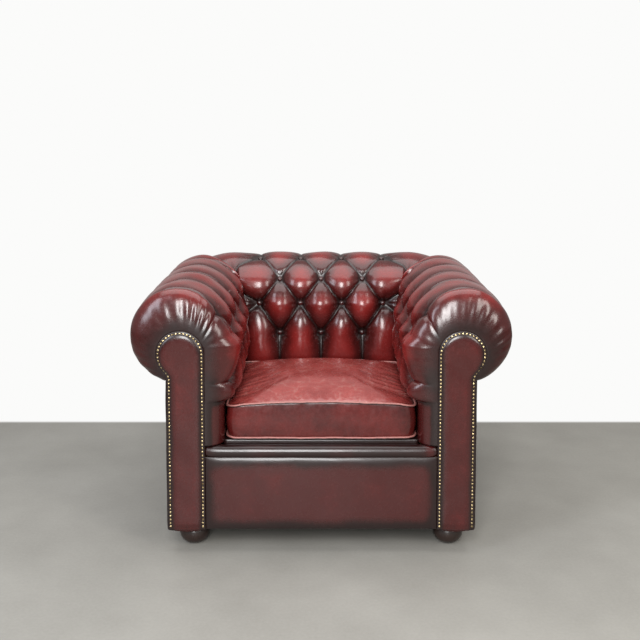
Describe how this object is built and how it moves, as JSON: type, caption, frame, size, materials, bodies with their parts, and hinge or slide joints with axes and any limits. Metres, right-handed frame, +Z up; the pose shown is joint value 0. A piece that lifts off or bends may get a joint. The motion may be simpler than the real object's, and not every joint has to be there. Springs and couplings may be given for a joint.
{
  "type": "deep-buttoned armchair",
  "caption": "Low armchair with rolled arms and back of one height, deep-buttoned leather, nailed scroll facings, loose seat cushion and bun feet.",
  "frame": {"origin": "on the floor, under the middle of the chair's bounding box", "axes": "+X to the viewer's right across the chair's width, front towards -Y, +Z up"},
  "size_m": [1.0568, 0.8684, 0.7355],
  "materials": {
    "leather": "antiqued, semi-gloss",
    "cushion_leather": "worn, semi-gloss",
    "piping_leather": "worn edge",
    "beech_frame": "planed, unfinished",
    "stained_wood": "turned, dark stain, satin",
    "stuffing": "foam and wadding",
    "jute": "woven",
    "dust_cloth": "woven cambric",
    "zip_tape": "woven tape with coil",
    "steel": "zinc plated",
    "nail_brass": "antiqued"
  },
  "bodies": {
    "chair": {"arm_cover_left": "leather", "arm_cover_right": "leather", "arm_padding_left": "stuffing", "arm_padding_right": "stuffing", "arm_post_front_left": "beech_frame", "arm_post_front_right": "beech_frame", "arm_tacking_rail_left": "beech_frame", "arm_tacking_rail_right": "beech_frame", "arm_top_rail_left": "beech_frame", "arm_top_rail_right": "beech_frame", "arm_webbing_left": "jute", "arm_webbing_right": "jute", "back_cover": "leather", "back_padding": "stuffing", "back_post_left": "beech_frame", "back_post_right": "beech_frame", "back_tacking_rail": "beech_frame", "back_top_rail": "beech_frame", "back_webbing": "jute", "corner_block_screws": "steel", "corner_blocks": "beech_frame", "deck_cover": "leather", "deck_lining": "jute", "deck_pad": "stuffing", "dust_cover": "dust_cloth", "facing_cover_left": "leather", "facing_cover_right": "leather", "facing_nails_left": "nail_brass", "facing_nails_right": "nail_brass", "foot_back_left": "stained_wood", "foot_back_right": "stained_wood", "foot_bolts": "steel", "foot_front_left": "stained_wood", "foot_front_right": "stained_wood", "foot_glides": "steel", "front_border_cover": "leather", "front_border_pad": "stuffing", "front_lip_roll": "leather", "outside_arm_panel_left": "leather", "outside_arm_panel_right": "leather", "outside_back_panel": "leather", "scroll_board_left": "beech_frame", "scroll_board_right": "beech_frame", "seat_back_rail": "beech_frame", "seat_front_rail": "beech_frame", "seat_side_rail_left": "beech_frame", "seat_side_rail_right": "beech_frame", "seat_springs": "steel", "spring_clips": "steel", "tuft_buttons_back": "leather", "tuft_buttons_left": "leather", "tuft_buttons_right": "leather"},
    "seat_cushion": {"cushion_core": "stuffing", "cushion_cover": "cushion_leather", "cushion_piping_bottom": "piping_leather", "cushion_piping_top": "piping_leather", "cushion_zip": "zip_tape"},
    "zip_pull": {"zip_slider": "nail_brass"}
  },
  "joints": [
    {"name": "seat_cushion_slide", "type": "slide", "parent": "chair", "child": "seat_cushion", "axis": [0, -1, 0], "range_m": [0, 0.6]},
    {"name": "zip_slide", "type": "slide", "parent": "seat_cushion", "child": "zip_pull", "axis": [-1, 0, 0], "range_m": [0, 0.44]}
  ]
}
